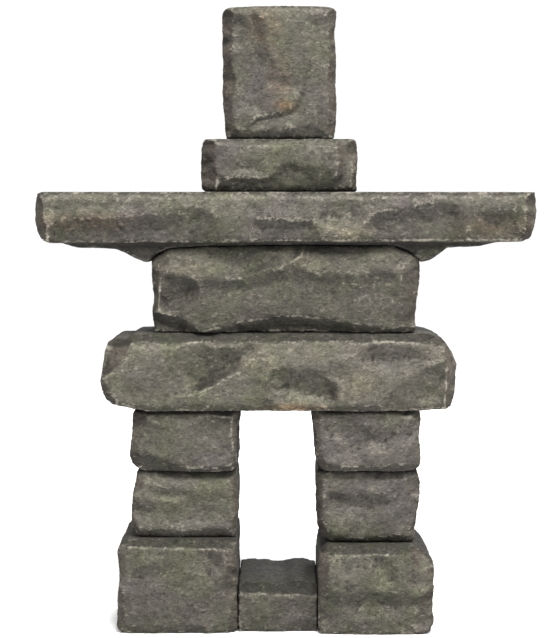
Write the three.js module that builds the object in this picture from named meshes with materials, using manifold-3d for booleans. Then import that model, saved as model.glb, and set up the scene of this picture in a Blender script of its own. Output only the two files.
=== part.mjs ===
// A stone cairn in the shape of a standing figure: twelve hewn stones, dry-stacked in eight courses.
// Two legs of three blocks each stand on the ground with a sill stone between their feet, a hip slab
// bridges them, and the chest, the long arms slab, the neck and the upright head follow.
//
// Millimetres, +Z up, +X to the figure's left hand as seen from the front, and the front faces -Y.
// The origin is on the ground, in the middle of the cairn's bounding box.
import * as THREE from "three";
import { ConvexHull } from "three/addons/math/ConvexHull.js";
import { mergeVertices } from "three/addons/utils/BufferGeometryUtils.js";
import Module from "manifold-3d";

const wasm = await Module();
wasm.setup();

// ---- Driving dimensions ----

// Height of each bed, the level surface on which the next stone rests.
const GROUND = 0;
const LEFT_FOOT_BED = 92.5;
const RIGHT_FOOT_BED = 87;
const KNEE_BED = 159;
const HIP_BED = 219.5;
const CHEST_BED = 295.5;
const ARMS_BED = 381.5;
const NECK_BED = 433;
const HEAD_BED = 485;
const TOP = 613;

// Two stones that touch keep this gap between their faces.
const GAP = 0.4;

// The spacing of points along a crease of the broken front, and how far they wander off it.
const CREASE_STEP = 11;
const CREASE_WANDER = 0.7;

// The broken surface is drawn out this far beyond the stone's outline on every side.
const BORDER = 5;

// The back, which is not worked by hand: the spacing of its broken faces and their greatest depth.
const BACK_STEP = 36;
const BACK_DEPTH = 6;

// Larger than any stone: the size of the waste that one fracture plane takes away.
const WASTE = 1500;

const STONE_FINISH = { roughness: 0.92, metalness: 0 };

// ---- Hewing tools ----

// A closed geometry as a solid that can be joined and cut.
function solidOf(geometry) {
  const bare = geometry.clone();
  bare.deleteAttribute("normal");
  bare.deleteAttribute("uv");
  const merged = mergeVertices(bare, 1e-4);
  return new wasm.Manifold(
    new wasm.Mesh({
      numProp: 3,
      vertProperties: new Float32Array(merged.attributes.position.array),
      triVerts: new Uint32Array(merged.index.array),
    }),
  );
}

// A solid back as geometry, with flat shading so that each fracture face reads as a plane.
function geometryOf(solid) {
  const mesh = solid.getMesh();
  const positions = new Float32Array(mesh.numVert * 3);
  for (let i = 0; i < mesh.numVert; i++) {
    const from = i * mesh.numProp;
    positions.set(mesh.vertProperties.subarray(from, from + 3), i * 3);
  }
  const geometry = new THREE.BufferGeometry();
  geometry.setAttribute("position", new THREE.BufferAttribute(positions, 3));
  geometry.setIndex(new THREE.BufferAttribute(mesh.triVerts, 1));
  const faceted = geometry.toNonIndexed();
  faceted.computeVertexNormals();
  return faceted;
}

// A front elevation, [x, z] points, pulled through the stone's depth from its front to its back.
function pulled(elevation, front, back) {
  const shape = new THREE.Shape(elevation.map(([x, z]) => new THREE.Vector2(x, z)));
  const slab = new THREE.ExtrudeGeometry(shape, { depth: back - front, bevelEnabled: false });
  slab.rotateX(Math.PI / 2);
  slab.translate(0, back, 0);
  return solidOf(slab);
}

// A repeatable sequence of numbers from 0 to 1.
function diceFrom(seed) {
  let state = seed;
  return () => {
    state = (state * 16807) % 2147483647;
    return state / 2147483647;
  };
}

// A crease as [x, z, depth] points at even steps along its line.
function stepped([depth, line], dice) {
  const wander = () => (dice() - 0.5) * 2 * CREASE_WANDER;
  const points = [];
  for (let i = 0; i + 1 < line.length; i++) {
    const [x, z] = line[i];
    const [toX, toZ] = line[i + 1];
    const steps = Math.ceil(Math.hypot(toX - x, toZ - z) / CREASE_STEP);
    for (let step = 0; step < steps; step++) {
      const t = step / steps;
      points.push([x + (toX - x) * t + wander(), z + (toZ - z) * t + wander(), depth + wander() / 2]);
    }
  }
  const [lastX, lastZ] = line[line.length - 1];
  points.push([lastX, lastZ, depth]);
  return points;
}

// The frame of points round a stone, each with the depth to which that side's arris is worn away.
function frameOf({ min, max }, edge, dice) {
  const [left, , bottom] = min.map((value) => value - BORDER);
  const [right, , top] = max.map((value) => value + BORDER);
  const sides = [
    [edge.left, [[left, bottom], [left, top]]],
    [edge.right, [[right, bottom], [right, top]]],
    [edge.top, [[left + BORDER, top], [right - BORDER, top]]],
    [edge.bottom, [[left + BORDER, bottom], [right - BORDER, bottom]]],
  ];
  const points = sides.flatMap((side) => stepped(side, dice));
  return points.map(([x, z, depth]) => [x, z, depth * (0.75 + 0.5 * dice())]);
}

// All that lies outside a broken surface: the [x, z, depth] points, with depth measured inward from
// the upright plane y = `plane`, are joined into facets by Delaunay's rule, which is the underside of
// the hull of the same points lifted onto a paraboloid. `inward` is 1 at the front and -1 at the back.
function wasteOutside(points, plane, inward) {
  const flatness = 0.001;
  const lifted = points.map(([x, z]) => new THREE.Vector3(x, z, (x * x + z * z) * flatness));
  const hull = new ConvexHull().setFromPoints(lifted);
  const facets = hull.faces.filter((face) => face.normal.z < -0.1);
  const prisms = facets.map((face) => {
    const corners = [0, 1, 2].map((i) => points[lifted.indexOf(face.getEdge(i).head().point)]);
    const ends = corners.flatMap(([x, z, depth]) => [
      [x, plane + inward * Math.max(depth, 0), z],
      [x, plane - inward * BORDER, z],
    ]);
    return wasm.Manifold.hull(ends);
  });
  return wasm.Manifold.union(prisms);
}

// The front, broken along creases. Each is [depth behind the front plane, line of [x, z] points].
function breakFront(stone, front, edge, creases, dice) {
  const points = creases.flatMap((crease) => stepped(crease, dice));
  points.push(...frameOf(stone.boundingBox(), edge, dice));
  return stone.subtract(wasteOutside(points, front, 1));
}

// The back, broken at random.
function breakBack(stone, back, dice) {
  const { min, max } = stone.boundingBox();
  const points = [];
  for (let x = min[0] + BACK_STEP / 3; x < max[0]; x += BACK_STEP) {
    for (let z = min[2] + BACK_STEP / 3; z < max[2]; z += BACK_STEP) {
      const astray = () => (dice() - 0.5) * BACK_STEP * 0.7;
      points.push([x + astray(), z + astray(), BACK_DEPTH * dice()]);
    }
  }
  const worn = { left: BACK_DEPTH, right: BACK_DEPTH, top: BACK_DEPTH, bottom: BACK_DEPTH };
  points.push(...frameOf({ min, max }, worn, dice));
  return stone.subtract(wasteOutside(points, back, -1));
}

// The stone less everything on the far side of a fracture plane through `at`, which faces `out`.
function splitOff(stone, at, out) {
  const box = new THREE.BoxGeometry(WASTE, WASTE, WASTE);
  box.translate(0, 0, WASTE / 2);
  const up = new THREE.Vector3(0, 0, 1);
  box.applyQuaternion(new THREE.Quaternion().setFromUnitVectors(up, out.clone().normalize()));
  box.translate(at.x, at.y, at.z);
  return stone.subtract(solidOf(box));
}

// Knocks the sharp arrises off a block round its back and its sides. Each edge gets two splits that
// deepen from its middle towards its ends, so that none stays straight.
function knap(stone, bite, dice) {
  const { min, max } = stone.boundingBox();
  const middle = min.map((low, axis) => (low + max[axis]) / 2);
  const edges = [
    { along: 0, out: [0, 1, 1], share: 1 },
    { along: 0, out: [0, 1, -1], share: 0.6 },
    { along: 2, out: [-1, 1, 0], share: 1 },
    { along: 2, out: [1, 1, 0], share: 1 },
    { along: 1, out: [-1, 0, 1], share: 0.2 },
    { along: 1, out: [1, 0, 1], share: 0.2 },
    { along: 1, out: [-1, 0, -1], share: 0.2 },
    { along: 1, out: [1, 0, -1], share: 0.2 },
  ];
  let hewn = stone;
  for (const { along, out, share } of edges) {
    const half = (max[along] - min[along]) / 2;
    const arris = new THREE.Vector3(
      ...out.map((way, axis) => (way > 0 ? max[axis] : way < 0 ? min[axis] : middle[axis])),
    );
    for (const end of [-1, 1]) {
      const facing = new THREE.Vector3(...out.map((way) => way * (0.7 + 0.6 * dice()))).normalize();
      const depth = bite * share * (0.3 + 0.4 * dice());
      const deeper = bite * share * (0.3 + 0.5 * dice());
      const at = arris.clone().addScaledVector(facing, -depth);
      facing.setComponent(along, (end * deeper) / half);
      hewn = splitOff(hewn, at, facing);
    }
  }
  return hewn;
}

// A rough block broken at the front along its creases, broken at the back and knapped all round.
function hewn(block, { front, back, edge, creases, seed, bite = 7 }) {
  const dice = diceFrom(seed);
  const faced = breakBack(breakFront(block, front, edge, creases, dice), back, dice);
  return knap(faced, bite, dice);
}

// A whole stone from its front elevation.
function hew(stone) {
  return hewn(pulled(stone.elevation, stone.front, stone.back), stone);
}

function named(name, color, solid) {
  const material = new THREE.MeshStandardMaterial({ color, ...STONE_FINISH, flatShading: true });
  const mesh = new THREE.Mesh(geometryOf(solid), material);
  mesh.name = name;
  return mesh;
}

// ---- Feet and sill ----

function leftFoot() {
  return hew({
    elevation: [
      [-163.5, GROUND], [-167.5, 6.5], [-165.5, 41.5], [-164, 60], [-166.5, 80], [-163.5, 89],
      [-154.5, LEFT_FOOT_BED], [-48.5, LEFT_FOOT_BED], [-47.5, 46.5], [-47.5, GROUND],
    ],
    front: -64,
    back: 66,
    edge: { left: 7, right: 9, top: 14, bottom: 4 },
    creases: [
      // The arris along the top, and the one down the left.
      [0.8, [[-152, 87], [-118, 86], [-89, 85], [-62, 84]]],
      [1.3, [[-157, 76], [-160, 40], [-158, 12]]],
      // Low swells across the face.
      [0.4, [[-138, 69], [-115, 74], [-94, 74]]],
      [0.2, [[-133, 44], [-106, 52], [-84, 60]]],
      [1.6, [[-140, 56], [-112, 62]]],
      [0.6, [[-123, 23], [-105, 20]]],
      [1.2, [[-150, 8], [-110, 8], [-80, 8]]],
      // A chip near the upper right corner: its floor and its rim.
      [3, [[-76, 78], [-69, 69], [-74, 61]]],
      [0, [[-62, 82], [-59, 71], [-61, 61], [-67, 56]]],
      // The facet that falls away at the lower right.
      [0.1, [[-72, 47], [-82, 38], [-92, 31], [-99, 17]]],
      [2.2, [[-62, 42], [-73, 30], [-79, 19]]],
      [3.4, [[-56, 30], [-57, 14]]],
    ],
    seed: 11,
    bite: 9,
  });
}

function rightFoot() {
  return hew({
    elevation: [
      [34.5, GROUND], [31.5, 6.5], [31.5, 65], [33.5, 81.5], [40.5, RIGHT_FOOT_BED], [124, RIGHT_FOOT_BED],
      [132.5, 83], [140, 76.5], [145, 69.5], [145.5, 59], [144.5, 28], [145.5, 11.5], [143, 3.5],
      [137.5, GROUND],
    ],
    front: -69,
    back: 61,
    edge: { left: 9, right: 9, top: 14, bottom: 4 },
    creases: [
      // The arris along the top, in two parts.
      [2.4, [[42, 80], [72, 79]]],
      [0.9, [[84, 80], [119, 80]]],
      // The lumps of the upper half and the dips between them.
      [0.2, [[43, 67], [55, 54]]],
      [3, [[62, 66], [69, 70]]],
      [0, [[74, 57], [81, 60]]],
      [3.2, [[97, 62], [91, 70]]],
      [0, [[111, 69], [116, 54], [106, 46]]],
      [3, [[131, 62], [127, 52]]],
      [0.4, [[40, 47], [56, 41], [70, 44], [86, 47], [100, 41], [114, 45], [130, 40]]],
      // The lower half, which lies a little back.
      [3.2, [[43, 33], [66, 29], [90, 33], [110, 27], [131, 31]]],
      [2.6, [[58, 14], [92, 13], [122, 14]]],
    ],
    seed: 23,
    bite: 9,
  });
}

function sill() {
  return hew({
    elevation: [
      [-47.1, GROUND], [-47.1, 47.5], [-20, 48], [-12, 46], [-2, 46], [9, 49.5], [18, 49],
      [26.5, 46.5], [31.1, 46.5], [31.1, GROUND],
    ],
    front: -57,
    back: 60,
    edge: { left: 1, right: 1, top: 15, bottom: 4 },
    creases: [
      // The arris along the top, then the face.
      [0.4, [[-46, 37], [-24, 39], [-4, 38], [30, 36]]],
      [0.3, [[-30, 24], [-12, 21]]],
      [1.6, [[6, 28], [20, 15]]],
      [1.4, [[-31, 9], [-4, 10]]],
    ],
    seed: 5,
    bite: 2,
  });
}

// ---- Leg blocks ----

function leftShin() {
  return hew({
    elevation: [
      [-146, LEFT_FOOT_BED + GAP], [-153, 100], [-153, 111], [-152.5, 125.5], [-152, 134.5],
      [-149, 146.5], [-147, KNEE_BED - GAP], [-48, KNEE_BED - GAP], [-47.5, 123.5],
      [-49, LEFT_FOOT_BED + GAP],
    ],
    front: -49,
    back: 50,
    edge: { left: 8, right: 9, top: 9, bottom: 5 },
    creases: [
      // The leaning facet at the upper left corner.
      [6, [[-148, 152], [-149, 143]]],
      [1.4, [[-137, 152], [-140, 141], [-149, 133]]],
      [2, [[-120, 151], [-75, 151]]],
      // Shallow steps across the face.
      [0.7, [[-120, 143], [-92, 142]]],
      [2.4, [[-126, 135], [-97, 133]]],
      [0.5, [[-134, 130], [-109, 130]]],
      [2.1, [[-134, 118], [-104, 116], [-75, 119]]],
      [0.6, [[-62, 140], [-60, 126]]],
      // The dip and the ridge above the foot.
      [1.8, [[-120, 110], [-96, 109], [-76, 111]]],
      [0.2, [[-145, 104], [-134, 101], [-114, 102], [-95, 101], [-77, 103], [-57, 102]]],
      [1, [[-54, 150], [-53, 112]]],
    ],
    seed: 31,
  });
}

function leftThigh() {
  return hew({
    elevation: [
      [-149.5, HIP_BED - GAP], [-152, 207.5], [-153, 188], [-154, 174], [-152, 167], [-148, 162.5],
      [-139, KNEE_BED], [-53, KNEE_BED], [-47.5, 165], [-48.5, 184], [-47.5, 202], [-44.5, HIP_BED - GAP],
    ],
    front: -55,
    back: 54,
    edge: { left: 10, right: 9, top: 8, bottom: 8 },
    creases: [
      // The arris between the face and the leaning facet on its left.
      [0.6, [[-135, 215], [-136, 201], [-140, 191], [-146, 179]]],
      [1.3, [[-112, 215], [-72, 215]]],
      // The face, with a hollow on its right.
      [0.4, [[-113, 201], [-95, 204]]],
      [0.2, [[-118, 184], [-94, 190]]],
      [3.6, [[-70, 198], [-58, 206]]],
      [1.7, [[-69, 184], [-57, 183]]],
      [1, [[-54, 212], [-52, 185], [-54, 166]]],
      // The ridge that slants down to the right, and the flake scar under it.
      [0, [[-143, 176], [-131, 175], [-117, 171], [-104, 166], [-90, 163], [-70, 163]]],
      [5, [[-139, 167], [-123, 164], [-107, 161]]],
    ],
    seed: 47,
  });
}

function rightShin() {
  return hew({
    elevation: [
      [31.5, KNEE_BED - GAP], [30.5, 147.5], [31.5, 125.5], [31.5, 106], [34, 95],
      [45.5, RIGHT_FOOT_BED + GAP], [127, RIGHT_FOOT_BED + GAP], [127, 101.5], [129.5, 113], [132, 125.5],
      [133, 135.5], [132.5, 150.5], [129, KNEE_BED - GAP],
    ],
    front: -49,
    back: 50,
    edge: { left: 9, right: 8, top: 9, bottom: 11 },
    creases: [
      [2.1, [[48, 149], [78, 150], [114, 149]]],
      [1, [[37, 150], [37, 118]]],
      // A worn hollow in the upper left.
      [1, [[42, 138], [61, 137]]],
      [3.6, [[46, 131], [60, 125]]],
      // Swells across the face.
      [0.3, [[75, 139], [98, 137]]],
      [2.4, [[85, 122], [117, 128]]],
      [0.1, [[53, 108], [65, 113]]],
      [0.7, [[81, 104], [105, 114]]],
      // The curved ridge along the foot.
      [0.4, [[38, 108], [41, 98], [50, 94], [65, 92], [93, 93], [111, 96]]],
    ],
    seed: 59,
  });
}

function rightThigh() {
  return hew({
    elevation: [
      [25, HIP_BED - GAP], [26.5, 207.5], [29, 192.5], [29.5, 172], [31.5, 164.5], [38, KNEE_BED],
      [123.5, KNEE_BED], [131, 162], [134, 167], [132.5, 178], [131.5, 193], [132.5, 211.5],
      [130.5, HIP_BED - GAP],
    ],
    front: -55,
    back: 54,
    edge: { left: 9, right: 7, top: 8, bottom: 10 },
    creases: [
      [1.2, [[36, 214], [75, 216], [122, 214]]],
      [0.8, [[34, 204], [34, 180]]],
      // Lumps and dips across the face.
      [2.6, [[66, 200], [60, 194]]],
      [0.1, [[54, 187], [48, 178]]],
      [0.2, [[76, 207], [88, 203], [102, 203]]],
      [2.8, [[83, 193], [92, 188]]],
      [1.5, [[114, 193], [122, 186]]],
      [2.6, [[65, 177], [73, 182]]],
      [0, [[84, 178], [104, 178]]],
      // The ridge along the foot.
      [0.1, [[42, 165], [68, 164], [92, 165], [114, 166]]],
    ],
    seed: 61,
  });
}

// ---- Hip slab ----

function hip() {
  return hew({
    elevation: [
      [-175, 231], [-168, 226.5], [-150, 222.5], [-134, HIP_BED], [130, HIP_BED], [156, 221.5],
      [162, 223.5], [165, 233.5], [167, 249.5], [168, 263.5], [164.5, 273.5], [158.5, 282.5],
      [152.5, 290], [143, 294], [128, CHEST_BED], [-134, CHEST_BED], [-150, 294.5], [-154, 290.5],
      [-168.5, 290], [-175.5, 285.5], [-179, 276.5], [-180, 259.5], [-181, 247.5], [-179.5, 238.5],
    ],
    front: -63,
    back: 62,
    edge: { left: 9, right: 22, top: 24, bottom: 6 },
    creases: [
      // The arris along the top.
      [2.8, [[-146, 287], [-93, 288], [-16, 288], [62, 288], [100, 288], [140, 286]]],
      // The leaning facet at the upper left corner.
      [12, [[-172, 280], [-175, 266]]],
      [0.8, [[-150, 285], [-154, 272], [-165, 261], [-177, 253]]],
      // The left part of the face.
      [0.4, [[-163, 254], [-146, 253], [-124, 251]]],
      [1.2, [[-151, 240], [-125, 238], [-110, 236]]],
      [0.6, [[-132, 277], [-127, 263]]],
      // The slanting hollow: where it begins, its floor along the far side and the bright step beyond.
      [0.8, [[-108, 282], [-116, 262], [-112, 248]]],
      [1.6, [[-70, 283], [-44, 284]]],
      [4.6, [[-96, 244]]],
      [8.6, [[-85, 246], [-74, 252]]],
      [7, [[-64, 258], [-52, 266]]],
      [4.4, [[-43, 274], [-35, 280]]],
      [0.2, [[-101, 235], [-84, 238], [-61, 251], [-46, 259], [-27, 275]]],
      // The bright middle, tipped a little back.
      [1.2, [[-14, 281], [9, 278], [38, 278]]],
      [0.1, [[-14, 263], [14, 263], [40, 261], [56, 268]]],
      [0.8, [[-54, 243], [-35, 250], [-24, 240]]],
      // The hollow under the middle.
      [1, [[10, 257], [46, 257]]],
      [6.4, [[1, 243], [16, 238], [42, 236]]],
      // The pale lump beside it, and the shallow hollow above.
      [0.2, [[52, 244], [64, 247], [79, 243]]],
      [0.8, [[68, 278], [66, 264], [87, 259]]],
      [4.6, [[83, 270], [106, 271], [128, 273]]],
      // The ridge that slants up to the right, and the facet that falls away under it.
      [0, [[94, 234], [110, 246], [123, 256], [141, 266], [153, 269]]],
      [1.6, [[106, 236], [120, 246], [133, 255], [148, 262]]],
      [4.4, [[130, 235], [147, 239], [151, 251]]],
      // The lower edge.
      [1.2, [[-165, 229], [-132, 225], [-64, 225], [-35, 225]]],
      [3.4, [[-6, 225], [33, 225]]],
      [0.4, [[50, 225], [91, 225]]],
      [3.6, [[121, 225], [152, 228]]],
      [1.6, [[153, 283], [156, 268], [157, 250], [155, 232]]],
    ],
    seed: 71,
    bite: 9,
  });
}

// ---- Chest ----

// The chest's crown, which the arms slab is dressed to sit over.
const CROWN = [
  [-131, 353.5], [-132, 365.5], [-127, 372], [-113.5, 378], [-74.5, 380.5], [15, ARMS_BED], [105.5, 380.5],
  [121, 374.5], [130.5, 366], [131.5, 352.5],
];

function chest() {
  return hew({
    elevation: [
      [-129, CHEST_BED + GAP], [-132, 314.5], [-129.5, 328.5], ...CROWN, [129, 333.5], [127, 314.5],
      [127, CHEST_BED + GAP],
    ],
    front: -55,
    back: 52,
    edge: { left: 12, right: 10, top: 9, bottom: 10 },
    creases: [
      // The shoulders, tipped back under the arms.
      [5.4, [[-112, 371], [-84, 372], [-50, 372], [-20, 374]]],
      [4, [[-2, 373], [40, 372], [80, 373], [104, 371]]],
      [5.4, [[-52, 361], [-35, 361], [-14, 367]]],
      [5, [[111, 366], [121, 358]]],
      // The bright ridge that climbs to the right, and the lower one that runs on from it.
      [0.1, [[-115, 356], [-103, 352], [-86, 349], [-66, 347], [-40, 350], [-22, 357], [-5, 359], [4, 364]]],
      [0.4, [[4, 364], [16, 373]]],
      [0.3, [[20, 358], [34, 352], [52, 356], [74, 352]]],
      [0.8, [[88, 358], [106, 355]]],
      [2, [[18, 347], [44, 344], [62, 346]]],
      [2.4, [[84, 345], [104, 348]]],
      // The hollow under the left end of the ridge.
      [3.4, [[-112, 344], [-99, 343]]],
      [6.6, [[-117, 327], [-105, 329], [-94, 335]]],
      [0.8, [[-81, 343], [-84, 329], [-96, 317], [-112, 317]]],
      // Swells across the middle of the face.
      [2.4, [[-62, 337], [-34, 339], [-6, 348]]],
      [1.8, [[40, 333], [84, 333]]],
      [0.4, [[-54, 320], [-20, 322], [20, 319], [60, 317], [92, 315]]],
      // The arrises at the two sides.
      [1.6, [[-122, 352], [-124, 330], [-124, 320]]],
      [0.9, [[112, 352], [113, 323], [113, 303]]],
      // The lower edge, undercut at the left and flaked away in an arch, and the facets under it.
      [0.5, [[-124, 316], [-101, 310], [-83, 297], [-68, 299], [-48, 305], [-27, 309], [-4, 312]]],
      [0.5, [[-4, 312], [18, 312], [35, 309], [59, 306], [83, 302], [101, 299]]],
      [10, [[-120, 305], [-103, 300]]],
      [11, [[-40, 299], [-8, 303], [22, 303], [58, 298]]],
    ],
    seed: 83,
  });
}

// ---- Arms slab ----

function arms() {
  const front = -63;
  const back = 60;
  const blade = pulled(
    [
      [-240, 388], [-230, 383.5], [229.5, 385], [238, 388], [243, 403], [245, 415],
      [242, NECK_BED], [-237, NECK_BED], [-242, 430.5], [-244.5, 415], [-245.5, 405], [-244.5, 396.5],
    ],
    front,
    back,
  );
  // The lower leaf of the slab, set back under its front edge and thickest beside the chest.
  const leaf = pulled(
    [
      [-224, 385.5], [-204, 379], [-167, 378], [-157, 374.5], [-148, 369.5], [-137, 365],
      [-127.5, 364], [127, 364], [139, 366.5], [148, 372], [156, 379], [190, 380.5], [212, 386.5],
    ],
    front + 13,
    back - 7,
  );
  const lowest = CROWN[0][1] - 10;
  const grown = CROWN.map(([x, z]) => [x + Math.sign(x) * GAP, z + GAP]);
  const seat = [[grown[0][0], lowest], ...grown, [grown[grown.length - 1][0], lowest]];
  const block = blade.add(leaf).subtract(pulled(seat, front - BORDER, back + BORDER));

  return hewn(block, {
    front,
    back,
    edge: { left: 26, right: 24, top: 6, bottom: 8 },
    creases: [
      // The arris along the top, and shallow hollows in the upper face.
      [1.3, [[-228, 427], [-160, 426], [-90, 427], [-10, 427], [60, 426], [140, 428], [225, 428]]],
      [1.8, [[-224, 419], [-194, 420], [-160, 421]]],
      [1.3, [[-35, 420], [4, 422], [42, 419]]],
      [1.6, [[74, 420], [96, 423]]],
      // The ridge that wanders along the slab.
      [0.2, [[-230, 405], [-196, 408], [-156, 409], [-141, 412], [-119, 411], [-108, 418], [-90, 420]]],
      [0.1, [[-90, 420], [-78, 416], [-60, 408], [-14, 407], [26, 406]]],
      [0.2, [[80, 409], [89, 414], [129, 420], [149, 425], [187, 415], [222, 417], [233, 414]]],
      // The hollows under it, which face down.
      [4.4, [[-199, 398], [-170, 397], [-141, 398], [-114, 399], [-91, 402]]],
      [4.2, [[-25, 400], [-1, 397], [20, 400]]],
      [4.2, [[90, 405], [115, 408], [139, 407], [160, 409]]],
      [4, [[194, 404], [218, 405]]],
      // The bulges between the hollows.
      [0.6, [[-62, 397], [-46, 396]]],
      [3.3, [[38, 409], [68, 410]]],
      [0, [[34, 394], [50, 393], [70, 393]]],
      [1.2, [[176, 408], [176, 396]]],
      // The lower edge.
      [6.4, [[-222, 389], [-190, 388], [-130, 388], [-84, 388]]],
      [1.6, [[-50, 389], [-34, 389]]],
      [5, [[-20, 389], [16, 389]]],
      [0.6, [[36, 389], [70, 389]]],
      [6, [[96, 389], [150, 389], [160, 390]]],
      [2.4, [[176, 389]]],
      [5.4, [[192, 390], [228, 392]]],
      // The arrises at the two ends.
      [1.2, [[-235, 426], [-233, 405], [-231, 390]]],
      [1.4, [[231, 426], [233, 412], [231, 396]]],
    ],
    seed: 97,
    bite: 9,
  });
}

// ---- Neck and head ----

function neck() {
  return hew({
    elevation: [
      [-78.5, NECK_BED + GAP], [-82.5, 437], [-83.5, 445.5], [-84, 463.5], [-82.5, 479],
      [-79, HEAD_BED - GAP], [65, HEAD_BED - GAP], [69, 481.5], [70, 465.5], [69, 448.5],
      [70.5, NECK_BED + GAP],
    ],
    front: -49,
    back: 47,
    edge: { left: 20, right: 14, top: 6, bottom: 9 },
    creases: [
      [1, [[-67, 481], [-69, 464], [-67, 450], [-68, 437]]],
      [0.6, [[-58, 477], [-20, 477], [20, 476], [44, 477]]],
      // The flat upper face, with a slight hollow on its left.
      [0.1, [[-46, 464], [-20, 466], [12, 467], [34, 463]]],
      [1.7, [[-50, 455], [-30, 456]]],
      // The arched lip, and the flake scar under it.
      [0.3, [[-57, 446], [-40, 448], [-23, 446], [-13, 451], [-6, 459], [4, 462], [18, 459], [45, 456]]],
      [3.4, [[-62, 441], [-43, 443], [-21, 442], [-9, 447], [-1, 454], [7, 457]]],
      [2.8, [[18, 451], [27, 446], [41, 444]]],
      [5.4, [[-55, 436], [-20, 435], [2, 436]]],
      [6.6, [[20, 436], [44, 435]]],
      // The right border: an upright ridge, a groove and the worn arris.
      [0.2, [[49, 477], [50, 458], [49, 450]]],
      [4, [[56, 475], [57, 450]]],
      [3.4, [[64, 458], [64, 438]]],
    ],
    seed: 103,
    bite: 6,
  });
}

function head() {
  return hew({
    elevation: [
      [-59, HEAD_BED], [-61.5, 517.5], [-62.5, 561.5], [-62.5, 608], [-60, 611], [-27.5, 612.5], [0, TOP],
      [35.5, 612.5], [46.5, 611], [50, 608], [47.5, 590.5], [49, 551.5], [49.5, 512.5], [47.5, 491],
      [46.5, HEAD_BED],
    ],
    front: -45,
    back: 42,
    edge: { left: 22, right: 12, top: 4, bottom: 8 },
    creases: [
      // The arrises round the face.
      [1.4, [[-49, 604], [-20, 606], [10, 607], [38, 604]]],
      [4.4, [[-53, 603], [-52, 580], [-54, 561], [-49, 541], [-53, 521], [-51, 493]]],
      [3.2, [[42, 598], [42, 560], [40, 531], [42, 505]]],
      // The shallow strip down the left, and the step at its right, which faces left.
      [3.6, [[-31, 599], [-30, 572], [-24, 557], [-23, 538], [-30, 519]]],
      [0.4, [[-20, 599], [-18, 573], [-11, 556], [-12, 538], [-18, 522]]],
      // The broad pillow on the right, which falls away towards its lower right.
      [0, [[4, 597], [14, 575], [4, 547]]],
      [2.4, [[32, 596], [31, 560], [17, 534]]],
      // The lip above the foot, and the ledge under it.
      [0.3, [[-29, 506], [-14, 508.5], [1, 513], [9, 517]]],
      [2.7, [[-28, 502.5], [-12, 505], [3, 509], [11, 513]]],
      // The foot.
      [1.8, [[-46, 493], [-23, 493], [6, 496]]],
      [3.6, [[26, 500], [39, 493]]],
    ],
    seed: 113,
    bite: 5,
  });
}

// ---- The cairn, from the ground up ----

const stack = new THREE.Group();
stack.add(
  named("left_foot_stone", 0x56544b, leftFoot()),
  named("right_foot_stone", 0x57554d, rightFoot()),
  named("sill_stone", 0x4a4b45, sill()),
  named("left_shin_stone", 0x5c594f, leftShin()),
  named("right_shin_stone", 0x57544b, rightShin()),
  named("left_thigh_stone", 0x5b584e, leftThigh()),
  named("right_thigh_stone", 0x5b594f, rightThigh()),
  named("hip_slab", 0x66645a, hip()),
  named("chest_stone", 0x5a574c, chest()),
  named("arms_slab", 0x5f5c52, arms()),
  named("neck_stone", 0x57544c, neck()),
  named("head_stone", 0x5c5850, head()),
);

// The stack is centred on its footprint box and stood on the ground.
const extent = new THREE.Box3().setFromObject(stack);
const middle = extent.getCenter(new THREE.Vector3());
stack.position.set(-middle.x, -middle.y, -extent.min.z);

const cairn = new THREE.Group();
cairn.add(stack);

export default cairn;
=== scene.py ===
import math

import bmesh
import bpy
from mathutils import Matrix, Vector


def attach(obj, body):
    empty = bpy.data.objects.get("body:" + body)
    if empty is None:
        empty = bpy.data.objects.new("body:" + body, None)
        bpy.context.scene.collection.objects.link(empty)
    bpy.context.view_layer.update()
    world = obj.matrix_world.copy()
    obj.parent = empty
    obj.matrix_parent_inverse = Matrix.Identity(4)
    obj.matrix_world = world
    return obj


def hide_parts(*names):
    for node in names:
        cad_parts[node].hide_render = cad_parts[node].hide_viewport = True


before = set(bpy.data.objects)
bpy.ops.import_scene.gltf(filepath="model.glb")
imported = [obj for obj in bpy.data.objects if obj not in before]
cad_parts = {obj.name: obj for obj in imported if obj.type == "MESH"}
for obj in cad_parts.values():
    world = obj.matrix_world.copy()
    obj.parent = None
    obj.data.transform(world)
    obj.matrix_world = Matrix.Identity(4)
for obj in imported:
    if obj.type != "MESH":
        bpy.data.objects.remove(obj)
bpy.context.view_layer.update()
MM = 0.001

# ---- Left foot ----
# A tall split block of grey-olive stone that stands on the ground and carries the left leg.
# Its faces were opened with wedges, so they are cleft planes with chipped arrises. It is darker in its
# hollows, and its high ridges are rubbed pale, partly as a painted highlight.


def finished_mesh(piece):
    """The piece with its modifiers taken into a plain mesh, and none left on it."""
    settled = piece.evaluated_get(bpy.context.evaluated_depsgraph_get())
    mesh = bpy.data.meshes.new_from_object(settled)
    piece.modifiers.clear()
    piece.data = mesh
    return piece


def quarried(node, grain, wear=2):
    """The node's block as a new piece: an even skin of small faces, `grain` millimetres across,
    with its arrises worn round. More rounds of `wear` round them further."""
    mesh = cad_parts[node].data.copy()
    mesh.materials.clear()
    piece = bpy.data.objects.new("hewn_" + node, mesh)
    bpy.context.scene.collection.objects.link(piece)
    weld = piece.modifiers.new("Weld", "WELD")
    weld.merge_threshold = 0.02 * MM
    skin = piece.modifiers.new("Skin", "REMESH")
    skin.mode = "VOXEL"
    skin.voxel_size = grain * MM
    skin.use_smooth_shade = True
    worn = piece.modifiers.new("Wear", "SMOOTH")
    worn.factor = 0.5
    worn.iterations = wear
    return finished_mesh(piece)


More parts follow.
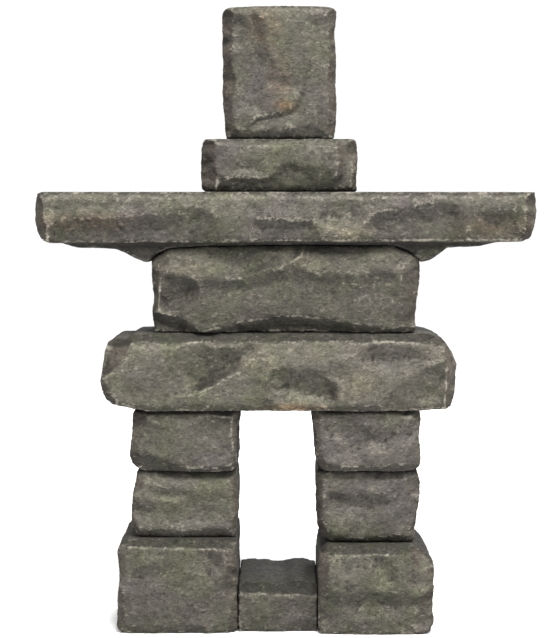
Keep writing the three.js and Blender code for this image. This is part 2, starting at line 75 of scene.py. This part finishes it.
def add_node(tree, kind, sockets=(), **settings):
    """A node in the tree, with each of `sockets` set to its value or linked from an output."""
    made = tree.nodes.new(kind)
    for name, value in settings.items():
        setattr(made, name, value)
    for key, value in dict(sockets).items():
        if isinstance(value, bpy.types.NodeSocket):
            tree.links.new(value, made.inputs[key])
        else:
            made.inputs[key].default_value = value
    return made


def maths(tree, operation, *values):
    made = add_node(tree, "ShaderNodeMath", dict(enumerate(values)), operation=operation)
    return made.outputs[0]


def vectors(tree, operation, *values):
    made = add_node(tree, "ShaderNodeVectorMath", dict(enumerate(values)), operation=operation)
    return made.outputs["Value" if operation in ("DOT_PRODUCT", "LENGTH") else "Vector"]


def scaled(tree, vector, factor):
    made = add_node(tree, "ShaderNodeVectorMath", {"Vector": vector, "Scale": factor}, operation="SCALE")
    return made.outputs["Vector"]


def axis_of(tree, vector, axis):
    return add_node(tree, "ShaderNodeSeparateXYZ", {0: vector}).outputs[axis]


def blurred(tree, value, rounds, kind="FLOAT_VECTOR"):
    """The value on the stone's skin, evened out with its neighbours this many times."""
    made = add_node(tree, "GeometryNodeBlurAttribute", {"Value": value, "Iterations": rounds},
                    data_type=kind)
    return made.outputs[0]


def proud_by(tree, place, normal, rounds):
    """How far each place stands out of the stone round it. More rounds take in more of the stone."""
    around = blurred(tree, place, rounds)
    return vectors(tree, "DOT_PRODUCT", vectors(tree, "SUBTRACT", place, around), normal)


def between(tree, value, low, high, to_low=0.0, to_high=1.0):
    """The value from low to high, carried to the range from to_low to to_high and held there."""
    made = add_node(tree, "ShaderNodeMapRange", {
        "Value": value, "From Min": low, "From Max": high, "To Min": to_low, "To Max": to_high})
    return made.outputs[0]


def noise(tree, place, size, detail, roughness, bend=0.0):
    """Clouds of 0 to 1 about `size` metres across."""
    return add_node(tree, "ShaderNodeTexNoise", {
        "Vector": place, "Scale": maths(tree, "DIVIDE", 1.0, size), "Detail": detail,
        "Roughness": roughness, "Distortion": bend}).outputs["Fac"]


def swell(tree, cloud, depth):
    """The cloud as a height that rises and falls by about `depth` either way."""
    either_way = maths(tree, "SUBTRACT", cloud, 0.5)
    return maths(tree, "MULTIPLY", either_way, maths(tree, "MULTIPLY", depth, 3.0))


def whole_cairn():
    """All the blocks as one piece, against which each stone finds what shelters it."""
    gathered = bmesh.new()
    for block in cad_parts.values():
        gathered.from_mesh(block.data)
    mesh = bpy.data.meshes.new("cairn")
    gathered.to_mesh(mesh)
    gathered.free()
    return bpy.data.objects.new("cairn", mesh)


CAIRN = whole_cairn()


def shelter(tree, place, normal):
    """The share, 0 to 1, of the sky that each place faces and that the cairn leaves open to it. Rays
    go out to the sky in two rings, a low one and a steep one."""
    cairn = add_node(tree, "GeometryNodeObjectInfo", {"Object": CAIRN}).outputs["Geometry"]
    clear_of_skin = 2 * MM
    reach = 0.3
    start = vectors(tree, "ADD", place, scaled(tree, normal, clear_of_skin))
    # A place that looks at the ground still has three quarters of its light, from below.
    faced = 0.4
    open_sky = 0.3
    for rays, climb in ((8, 0.3), (5, 1.0)):
        for turn in range(rays):
            azimuth = (turn + 0.5) * math.tau / rays
            across = math.cos(climb)
            aim = (math.cos(azimuth) * across, math.sin(azimuth) * across, math.sin(climb))
            ray = add_node(tree, "GeometryNodeRaycast", {
                "Target Geometry": cairn, "Source Position": start, "Ray Direction": aim,
                "Ray Length": reach})
            toward = between(tree, vectors(tree, "DOT_PRODUCT", normal, aim), 0.0, 0.3)
            clear = maths(tree, "SUBTRACT", 1.0, ray.outputs["Is Hit"])
            faced = maths(tree, "ADD", faced, toward)
            open_sky = maths(tree, "ADD", open_sky, maths(tree, "MULTIPLY", toward, clear))
    return maths(tree, "DIVIDE", open_sky, faced)


SKIN_SIZES = {
    "Swell size": 34 * MM, "Swell depth": 1.0 * MM,
    "Ripple size": 13 * MM, "Ripple depth": 0.75 * MM,
    "Grain size": 4.6 * MM, "Grain depth": 0.42 * MM,
    "Chip depth": 1.1 * MM, "Cleft depth": 3.4 * MM,
}


def weathered_skin():
    """The relief that splitting and weather leave on every face: swells, ripples, worm-like grain,
    clefts and chipped arrises, held inside the block. It also measures, for the finish, which way each
    broken facet lies, where two of them meet in a crest, how much of the sky is open to it, and how
    proud each spot stands of the stone round it."""
    tree = bpy.data.node_groups.new("Weathered skin", "GeometryNodeTree")
    tree.is_modifier = True
    tree.interface.new_socket("Stone", in_out="INPUT", socket_type="NodeSocketGeometry")
    for name in ("Bed in the rock", "Low corner", "High corner"):
        tree.interface.new_socket(name, in_out="INPUT", socket_type="NodeSocketVector")
    for name in SKIN_SIZES:
        tree.interface.new_socket(name, in_out="INPUT", socket_type="NodeSocketFloat")
    tree.interface.new_socket("Finish", in_out="INPUT", socket_type="NodeSocketMaterial")
    tree.interface.new_socket("Stone", in_out="OUTPUT", socket_type="NodeSocketGeometry")
    given = tree.nodes.new("NodeGroupInput").outputs
    here = add_node(tree, "GeometryNodeInputPosition").outputs[0]
    normal = add_node(tree, "GeometryNodeInputNormal").outputs[0]
    place = vectors(tree, "ADD", here, given["Bed in the rock"])

    swells = swell(tree, noise(tree, place, given["Swell size"], 1.0, 0.5, 0.3), given["Swell depth"])

    # Ripples have creased crests.
    ripple = noise(tree, place, given["Ripple size"], 3.0, 0.55, 0.6)
    crest = maths(tree, "ABSOLUTE", maths(tree, "SUBTRACT", ripple, 0.5))
    ripples = maths(tree, "MULTIPLY", maths(tree, "SUBTRACT", 0.1, crest),
                    maths(tree, "MULTIPLY", given["Ripple depth"], 6.0))
    grain = swell(tree, noise(tree, place, given["Grain size"], 2.5, 0.6, 1.2), given["Grain depth"])

    # Arrises are proud of their surroundings, and chips come off them here and there.
    arris = between(tree, proud_by(tree, here, normal, 24), 0.3 * MM, 1.8 * MM)
    chip_size = 16 * MM
    loose = between(tree, noise(tree, place, chip_size, 2.0, 0.55), 0.42, 0.66)
    chips = maths(tree, "MULTIPLY", maths(tree, "MULTIPLY", arris, loose), given["Chip depth"])

    # The beds that another stone rests on were dressed nearly flat.
    level = maths(tree, "ABSOLUTE", axis_of(tree, normal, "Z"))
    share = between(tree, level, 0.75, 0.95, 1.0, 0.5)

    # The ends and the back, which nobody dressed, are cleft deeper than the front.
    cleft_size = 46 * MM
    cleft = maths(tree, "SUBTRACT", noise(tree, place, cleft_size, 1.0, 0.5, 0.5), 0.5)
    cleft = between(tree, maths(tree, "ABSOLUTE", cleft), 0.0, 0.16, 0.0, 1.0)
    rough = between(tree, axis_of(tree, normal, "Y"), -0.4, 0.6)
    rough = maths(tree, "MULTIPLY", rough, between(tree, level, 0.3, 0.6, 1.0, 0.0))
    cleft = maths(tree, "MULTIPLY", maths(tree, "MULTIPLY", cleft, rough), given["Cleft depth"])

    relief = maths(tree, "ADD", swells, ripples)
    relief = maths(tree, "ADD", relief, maths(tree, "SUBTRACT", grain, cleft))
    relief = maths(tree, "SUBTRACT", maths(tree, "MULTIPLY", relief, share), chips)
    moved = vectors(tree, "ADD", here, scaled(tree, normal, relief))
    moved = vectors(tree, "MAXIMUM", vectors(tree, "MINIMUM", moved, given["High corner"]),
                    given["Low corner"])

    def kept(stone, name, value, kind):
        return add_node(tree, "GeometryNodeStoreNamedAttribute", {
            "Geometry": stone, "Name": name, "Value": value}, data_type=kind, domain="POINT").outputs[0]

    # The lie and the crests of the broken facets, before any relief is laid over them.
    stone = kept(given["Stone"], "lie", blurred(tree, normal, 3), "FLOAT_VECTOR")
    stone = kept(stone, "crest", maths(tree, "DIVIDE", proud_by(tree, here, normal, 5), MM), "FLOAT")
    stone = kept(stone, "sky", blurred(tree, shelter(tree, here, normal), 5, "FLOAT"), "FLOAT")
    stone = add_node(tree, "GeometryNodeSetPosition", {"Geometry": stone, "Position": moved}).outputs[0]

    # How proud each spot stands, close to and further off, for the rubbed ridges and the darker hollows.
    spot = add_node(tree, "GeometryNodeInputPosition").outputs[0]
    facing = add_node(tree, "GeometryNodeInputNormal").outputs[0]
    for name, rounds in (("close_relief", 3), ("broad_relief", 22)):
        height = proud_by(tree, spot, facing, rounds)
        stone = kept(stone, name, maths(tree, "DIVIDE", height, MM), "FLOAT")
    whole = add_node(tree, "GeometryNodeRealizeInstances", {"Geometry": stone}).outputs[0]
    done = add_node(tree, "GeometryNodeSetMaterial", {
        "Geometry": whole, "Material": given["Finish"]}).outputs[0]
    add_node(tree, "NodeGroupOutput", {0: done})
    return tree


SKIN = weathered_skin()


def weathered(piece, finish, bed, **sizes):
    """Gives the piece its skin. `bed` is where in the rock the stone was cut from, in metres, and
    `sizes` are any of the skin's sizes in millimetres, such as ripple_depth=1."""
    corners = [Vector(corner) for corner in piece.bound_box]
    skin = piece.modifiers.new("Skin", "NODES")
    skin.node_group = SKIN
    values = dict(SKIN_SIZES)
    for name, size in sizes.items():
        values[name.replace("_", " ").capitalize()] = size * MM
    values["Bed in the rock"] = bed
    values["Low corner"] = [min(corner[axis] for corner in corners) for axis in range(3)]
    values["High corner"] = [max(corner[axis] for corner in corners) for axis in range(3)]
    values["Finish"] = finish
    for item in SKIN.interface.items_tree:
        if item.in_out == "INPUT" and item.name in values:
            skin[item.identifier] = values[item.name]
    return finished_mesh(piece)


def mixed(tree, kind, factor, under, over):
    """One colour laid over another. The mixing node's colours are its sockets 6 and 7."""
    made = add_node(tree, "ShaderNodeMix", {0: factor, 6: under, 7: over},
                    data_type="RGBA", blend_type=kind)
    return made.outputs[2]


def multiplied(tree, first, *others):
    """The product of all the values."""
    for other in others:
        first = maths(tree, "MULTIPLY", first, other)
    return first


def swung(tree, cloud, strength):
    """The cloud, 0 to 1, as a push up or down of half the strength."""
    return maths(tree, "MULTIPLY", maths(tree, "SUBTRACT", cloud, 0.5), strength)


def stone_finish(name, body=(0.064, 0.0585, 0.049), purple=(0.0635, 0.057, 0.0505),
                 olive=(0.0645, 0.0635, 0.0435), brown=(0.043, 0.0365, 0.029), pale=(0.30, 0.275, 0.225),
                 hollow_dark=(0.017, 0.0155, 0.012), tone=1.0, turn=0.0, tint_patches=(), painted_shade_below=None):
    """Dark grey stone clouded with olive and purple-brown, pale where it is rubbed, partly as a painted
    highlight, and dark in its pits. Painted light and shade by the way each facet faces lie over it,
    and painted shade wherever another stone hides the sky. A higher `tone` is lighter, and `turn`
    moves its pattern. Each tinted patch, a stain or a patch of painted light or shade, is its centre,
    half its width and half its height, in millimetres, what it multiplies the colour by, and its
    strength. A height may be given last, in millimetres; below it the colour is darker still: painted
    shade."""
    material = bpy.data.materials.new(name)
    material.use_nodes = True
    tree = material.node_tree
    tree.nodes.clear()
    spot = add_node(tree, "ShaderNodeTexCoord").outputs["Object"]
    place = add_node(tree, "ShaderNodeMapping", {
        "Vector": spot, "Location": (turn, turn * 0.7, -turn),
        "Rotation": (turn, 0.4, turn * 2)}).outputs[0]

    def measured(attribute, output="Fac"):
        return add_node(tree, "ShaderNodeAttribute", attribute_name=attribute).outputs[output]

    close = measured("close_relief")
    broad = measured("broad_relief")
    # The way a facet faces, as its share of rightward, X, and upward, Z, from -1 to 1.
    lie = add_node(tree, "ShaderNodeSeparateXYZ", {0: measured("lie", "Vector")}).outputs
    # The grain runs along the bed of the rock, which lies level.
    along = vectors(tree, "ADD", vectors(tree, "MULTIPLY", spot, (0.68, 0.8, 1.18)), (turn, turn, -turn))
    worms = noise(tree, along, 3.4 * MM, 3.0, 0.6, 1.2)
    fleck = noise(tree, place, 1.7 * MM, 2.0, 0.6)
    smear = noise(tree, along, 11 * MM, 3.0, 0.6, 0.8)
    patch = noise(tree, place, 70 * MM, 2.0, 0.5, 0.4)
    cloud = noise(tree, place, 24 * MM, 3.0, 0.6)

    colour = mixed(tree, "MIX", between(tree, patch, 0.40, 0.62), (*olive, 1), (*purple, 1))
    colour = mixed(tree, "MIX", between(tree, cloud, 0.42, 0.62, 0.0, 0.8), colour, (*body, 1))
    # Facets that face sideways are painted a duller, darker brown: painted shade. The rest is painted
    # light and shade by the lie of each facet, scaled by the stone's own tone: facets that lean back a
    # little are lighter than those that look down, those that face right a little lighter than those
    # that face left, and steep upper bevels are darker, level tops less so.
    slant = maths(tree, "ABSOLUTE", lie["X"])
    side_shade = maths(tree, "MULTIPLY", between(tree, slant, 0.14, 0.5, 0.0, 0.95),
                  between(tree, slant, 0.75, 0.95, 1.0, 0.4))
    colour = mixed(tree, "MIX", side_shade, colour, (*brown, 1))
    tone_and_painted_light = multiplied(
        tree,
        between(tree, lie["Z"], -0.23, 0.23, 0.58 * tone, 1.38 * tone),
        between(tree, lie["X"], -0.3, 0.3, 0.9, 1.1),
        between(tree, lie["Z"], 0.28, 0.6, 1.0, 0.42),
        between(tree, lie["Z"], 0.88, 0.98, 1.0, 1.5),
    )
    # Painted shade: darker wherever the cairn hides the sky from a place, as under the stone above.
    painted_sky_light = between(tree, measured("sky"), 0.25, 0.88, 0.45, 1.0)
    # If a height is given, the colour below it is darker still: painted shade.
    if painted_shade_below:
        clear_of_painted_shade = between(tree, axis_of(tree, spot, "Z"), (painted_shade_below - 1) * MM, (painted_shade_below + 2) * MM, 0.42, 1.0)
        painted_sky_light = maths(tree, "MULTIPLY", painted_sky_light, clear_of_painted_shade)
    colour = mixed(tree, "MULTIPLY", 1.0, colour, maths(tree, "MULTIPLY", tone_and_painted_light, painted_sky_light))
    # The grain is lighter on its crests, and dust is smeared along it.
    colour = mixed(tree, "MULTIPLY", 1.0, colour, between(tree, worms, 0.28, 0.72, 0.5, 1.58))
    colour = mixed(tree, "MULTIPLY", 1.0, colour, between(tree, smear, 0.32, 0.68, 0.8, 1.22))
    # The hollows are darker.
    depth = maths(tree, "ADD", broad, maths(tree, "MULTIPLY", close, 2.0))
    colour = mixed(tree, "MIX", between(tree, depth, -0.3, -1.7, 0.0, 0.8), colour, (*hollow_dark, 1))
    # The crests between facets are rubbed pale in stretches, and so are the highest bits of grain. This
    # is
    # partly a painted highlight: it is strongest on crests that face forward, and fades in the painted
    # shade.
    stretch = multiplied(
        tree,
        between(tree, cloud, 0.34, 0.56),
        painted_sky_light,
        between(tree, slant, 0.1, 0.4, 1.0, 0.2),
        between(tree, lie["Z"], -0.75, -0.25, 0.15, 1.0),
        between(tree, lie["Z"], 0.15, 0.45, 1.0, 0.35),
    )
    rubbed = maths(tree, "MULTIPLY", between(tree, measured("crest"), 0.08, 0.45), stretch)
    ridge = maths(tree, "ADD", maths(tree, "MULTIPLY", close, 1.1), maths(tree, "MULTIPLY", rubbed, 1.2))
    ridge = maths(tree, "ADD", ridge, swung(tree, worms, 2.4))
    ridge = maths(tree, "ADD", ridge, swung(tree, smear, 1.6))
    pale_wear_and_highlight = maths(tree, "MULTIPLY", between(tree, ridge, 0.4, 1.5, 0.0, 0.7), painted_sky_light)
    colour = mixed(tree, "MIX", pale_wear_and_highlight, colour, (*pale, 1))
    # Tinted patches, some real stains and some painted light or shade, fade out from their centres and
    # run far into the stone.
    for centre, wide, tall, tint, strength in tint_patches:
        away = vectors(tree, "SUBTRACT", spot, tuple(c * MM for c in centre))
        away = vectors(tree, "DIVIDE", away, (wide * MM, wide * 3 * MM, tall * MM))
        near = between(tree, vectors(tree, "LENGTH", away), 1.0, 0.2, 0.0, strength)
        near = maths(tree, "MULTIPLY", near, between(tree, smear, 0.36, 0.56, 0.35, 1.0))
        colour = mixed(tree, "MULTIPLY", near, colour, (*tint, 1))

    rough = between(tree, worms, 0.3, 0.7, 0.95, 0.8)
    bumps = maths(tree, "ADD", worms, maths(tree, "MULTIPLY", fleck, 0.4))
    bump = add_node(tree, "ShaderNodeBump", {"Height": bumps, "Strength": 0.7, "Distance": 1.0 * MM})
    shader = add_node(tree, "ShaderNodeBsdfPrincipled", {
        "Base Color": colour, "Roughness": rough, "Normal": bump.outputs[0]})
    shader.inputs["Specular IOR Level"].default_value = 0.25
    add_node(tree, "ShaderNodeOutputMaterial", {"Surface": shader.outputs[0]})
    return material


left_foot = quarried("left_foot_stone", grain=1.35)
left_foot = weathered(left_foot, stone_finish("left foot stone", turn=0.3), (0.31, 0.12, 0.05))
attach(left_foot, "root")
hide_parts("left_foot_stone")

# ---- Right foot ----
# The other tall foot block, of the same stone, which stands loose on the ground under the right leg.
# Its upper half broke lumpy, and its lower half, which lies a little back, broke smoother.

right_foot = quarried("right_foot_stone", grain=1.35)
right_foot = weathered(right_foot, stone_finish("right foot stone", tone=1.02, turn=1.1),
                       (0.72, 0.41, 0.33), ripple_depth=1.0)
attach(right_foot, "root")
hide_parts("right_foot_stone")

# ---- Sill ----
# A low block of the same stone, which lies on the ground between the two feet. Its ends and back were
# split clean, and its top is darkened with painted shade from the hip slab above it.

sill = quarried("sill_stone", grain=1.35)
# A darker band along the top: painted shade under the hip slab.
tint_patches = (((-8, -30, 50), 90, 14, (0.66, 0.69, 0.7), 1.0),)
sill = weathered(sill, stone_finish("sill stone", turn=2.2, tint_patches=tint_patches), (0.15, 0.83, 0.52),
                 cleft_depth=0)
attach(sill, "root")
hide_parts("sill_stone")

# ---- Leg blocks ----
# Two squarish blocks to each leg, a shin and a thigh, of the same grey stone in slightly different
# tones. They were split to size, and are laid dry on their dressed beds.

left_shin = quarried("left_shin_stone", grain=1.35)
left_shin = weathered(left_shin, stone_finish("left shin stone", tone=1.13, turn=3.1),
                      (0.93, 0.22, 0.71))
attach(left_shin, "root")
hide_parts("left_shin_stone")

left_thigh = quarried("left_thigh_stone", grain=1.35)
left_thigh = weathered(left_thigh, stone_finish("left thigh stone", tone=0.97, turn=4.2),
                       (0.47, 0.65, 0.18))
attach(left_thigh, "root")
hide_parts("left_thigh_stone")

right_shin = quarried("right_shin_stone", grain=1.35)
right_shin = weathered(right_shin, stone_finish("right shin stone", tone=0.94, turn=5.3),
                       (0.62, 0.91, 0.84))
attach(right_shin, "root")
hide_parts("right_shin_stone")

right_thigh = quarried("right_thigh_stone", grain=1.35)
right_thigh = weathered(right_thigh, stone_finish("right thigh stone", tone=1.08, turn=6.4),
                        (0.28, 0.37, 0.96), ripple_depth=1.0)
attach(right_thigh, "root")
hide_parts("right_thigh_stone")

# ---- Hip slab ----
# The slab that bridges the legs, of paler olive-grey stone cleft along its length. It lies loose on
# the two thighs. An old slanting split crosses its front, which has painted shade on a facet near either
# end, painted light on two facets between them, and a rusty streak along its lower edge.

hip = quarried("hip_slab", grain=1.6)
# The first patch is a rusty streak. The others are painted shade near either end and painted light
# between them.
tint_patches = (
    ((8, -62, 223), 42, 7, (1.5, 1.05, 0.8), 0.8),
    ((-97, -60, 262), 34, 16, (0.76, 0.75, 0.76), 1.0),
    ((-18, -60, 266), 38, 16, (1.2, 1.19, 1.12), 1.0),
    ((72, -60, 246), 26, 18, (1.25, 1.22, 1.12), 1.0),
    ((106, -60, 271), 44, 16, (0.62, 0.62, 0.65), 1.0),
)
hip = weathered(hip, stone_finish("hip slab stone", purple=(0.064, 0.0585, 0.0465), tone=1.2, turn=7.5,
                                  tint_patches=tint_patches), (0.81, 0.54, 0.27))
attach(hip, "root")
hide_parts("hip_slab")

# ---- Chest ----
# A broad block of darker olive-grey stone, with rounded shoulders and a crown that the arms slab sits
# over. It is deeply scarred, and its lower edge is flaked away in an arch. Two of its upper ridges
# carry painted light, and the band right under the arms carries a painted shadow.

chest = quarried("chest_stone", grain=1.45)
# Painted light on two upper ridges, and a painted shadow along the band right under the arms slab.
tint_patches = (
    ((-92, -52, 358), 34, 10, (1.5, 1.48, 1.38), 1.0),
    ((20, -52, 364), 34, 9, (1.2, 1.18, 1.12), 1.0),
    ((0, -52, 378), 150, 9, (0.62, 0.62, 0.58), 1.0),
)
chest = weathered(chest, stone_finish("chest stone", purple=(0.063, 0.058, 0.0455), tone=0.8, turn=8.1,
                                      tint_patches=tint_patches), (0.36, 0.78, 0.63))
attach(chest, "root")
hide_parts("chest_stone")

# ---- Arms slab ----
# The longest slab, of paler grey stone, balanced on the chest. Its upper leaf is the span of the arms,
# stained brown towards both ends, with painted light on a bulge right of the middle. The thinner lower
# leaf is set back, darkened with painted shade, and dressed to sit over the chest.

arms = quarried("arms_slab", grain=1.7)
# Brown stains towards both ends, and painted light on the bulge right of the middle.
tint_patches = (
    ((-192, -62, 404), 66, 13, (1.25, 1.0, 0.9), 0.8),
    ((200, -62, 400), 52, 15, (1.0, 0.84, 0.78), 0.9),
    ((58, -62, 395), 40, 12, (1.36, 1.29, 1.2), 1.0),
)
# Below 384 mm, on the set-back lower leaf, painted shade under the upper leaf.
arms = weathered(arms, stone_finish("arms slab stone", tone=1.12, turn=9.6, tint_patches=tint_patches, painted_shade_below=384),
                 (0.58, 0.17, 0.44))
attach(arms, "root")
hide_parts("arms_slab")

# ---- Neck ----
# A low block of the same grey-olive stone as the feet, laid dry on the arms slab. On its right, a
# flake has come away from the front and left an arched lip above it.

neck = quarried("neck_stone", grain=1.35)
neck = weathered(neck, stone_finish("neck stone", tone=1.04, turn=10.4), (0.22, 0.49, 0.79))
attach(neck, "root")
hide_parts("neck_stone")

# ---- Head ----
# The upright block on top, which stands loose on the neck. It is of the same stone, clouded warm brown
# at its upper left and down its middle, with a rust stain on the ledge near its foot.

head = quarried("head_stone", grain=1.35)
tint_patches = (
    ((0, -44, 516), 17, 8, (1.6, 1.15, 0.85), 0.8),
    ((-21, -44, 590), 22, 26, (1.3, 1.05, 0.85), 0.8),
    ((-5, -44, 542), 16, 32, (1.25, 1.02, 0.88), 0.8),
)
head = weathered(head, stone_finish("head stone", turn=11.7, tint_patches=tint_patches), (0.69, 0.06, 0.91))
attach(head, "root")
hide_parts("head_stone")

# ---- Studio ----
# A plain pale floor, a soft light high above the front and a broader, weaker one behind.

floor_mesh = bpy.data.meshes.new("studio_floor")
floor_half = 30.0
floor_mesh.from_pydata([(-floor_half, -floor_half, 0), (floor_half, -floor_half, 0),
                        (floor_half, floor_half, 0), (-floor_half, floor_half, 0)], [], [(0, 1, 2, 3)])
floor = bpy.data.objects.new("studio_floor", floor_mesh)
bpy.context.scene.collection.objects.link(floor)
floor_paint = bpy.data.materials.new("pale floor")
floor_paint.use_nodes = True
floor_paint.node_tree.nodes["Principled BSDF"].inputs["Base Color"].default_value = (0.96, 0.96, 0.96, 1)
floor_paint.node_tree.nodes["Principled BSDF"].inputs["Roughness"].default_value = 0.9
floor_mesh.materials.append(floor_paint)


def soft_light(name, at, aim, size, power):
    data = bpy.data.lights.new(name, "AREA")
    data.shape = "DISK"
    data.size = size
    data.energy = power
    lamp = bpy.data.objects.new(name, data)
    lamp.location = at
    lamp.rotation_euler = (Vector(aim) - Vector(at)).to_track_quat("-Z", "Y").to_euler()
    bpy.context.scene.collection.objects.link(lamp)


middle = Vector((0, 0, 0.33))
soft_light("key light", (0.3, -1.1, 2.1), middle, 0.7, 70)
soft_light("back light", (0.6, 1.8, 1.4), middle, 1.2, 20)
world = bpy.data.worlds.new("studio")
bpy.context.scene.world = world
world.use_nodes = True
world.node_tree.nodes["Background"].inputs["Color"].default_value = (1, 1, 1, 1)
world.node_tree.nodes["Background"].inputs["Strength"].default_value = 1.05
bpy.context.scene.view_settings.view_transform = "Standard"

degrees_down = 3.859
camera_data = bpy.data.cameras.new("camera")
camera_data.lens = 83.05
camera = bpy.data.objects.new("camera", camera_data)
camera.location = (-0.0061, -1.4825, 0.406)
camera.rotation_euler = (math.radians(90 - degrees_down), 0, 0)
bpy.context.scene.collection.objects.link(camera)
bpy.context.scene.camera = camera

# The stones are plain meshes now, so the tools that shaped them go.
bpy.data.objects.remove(CAIRN)
bpy.data.node_groups.remove(SKIN)
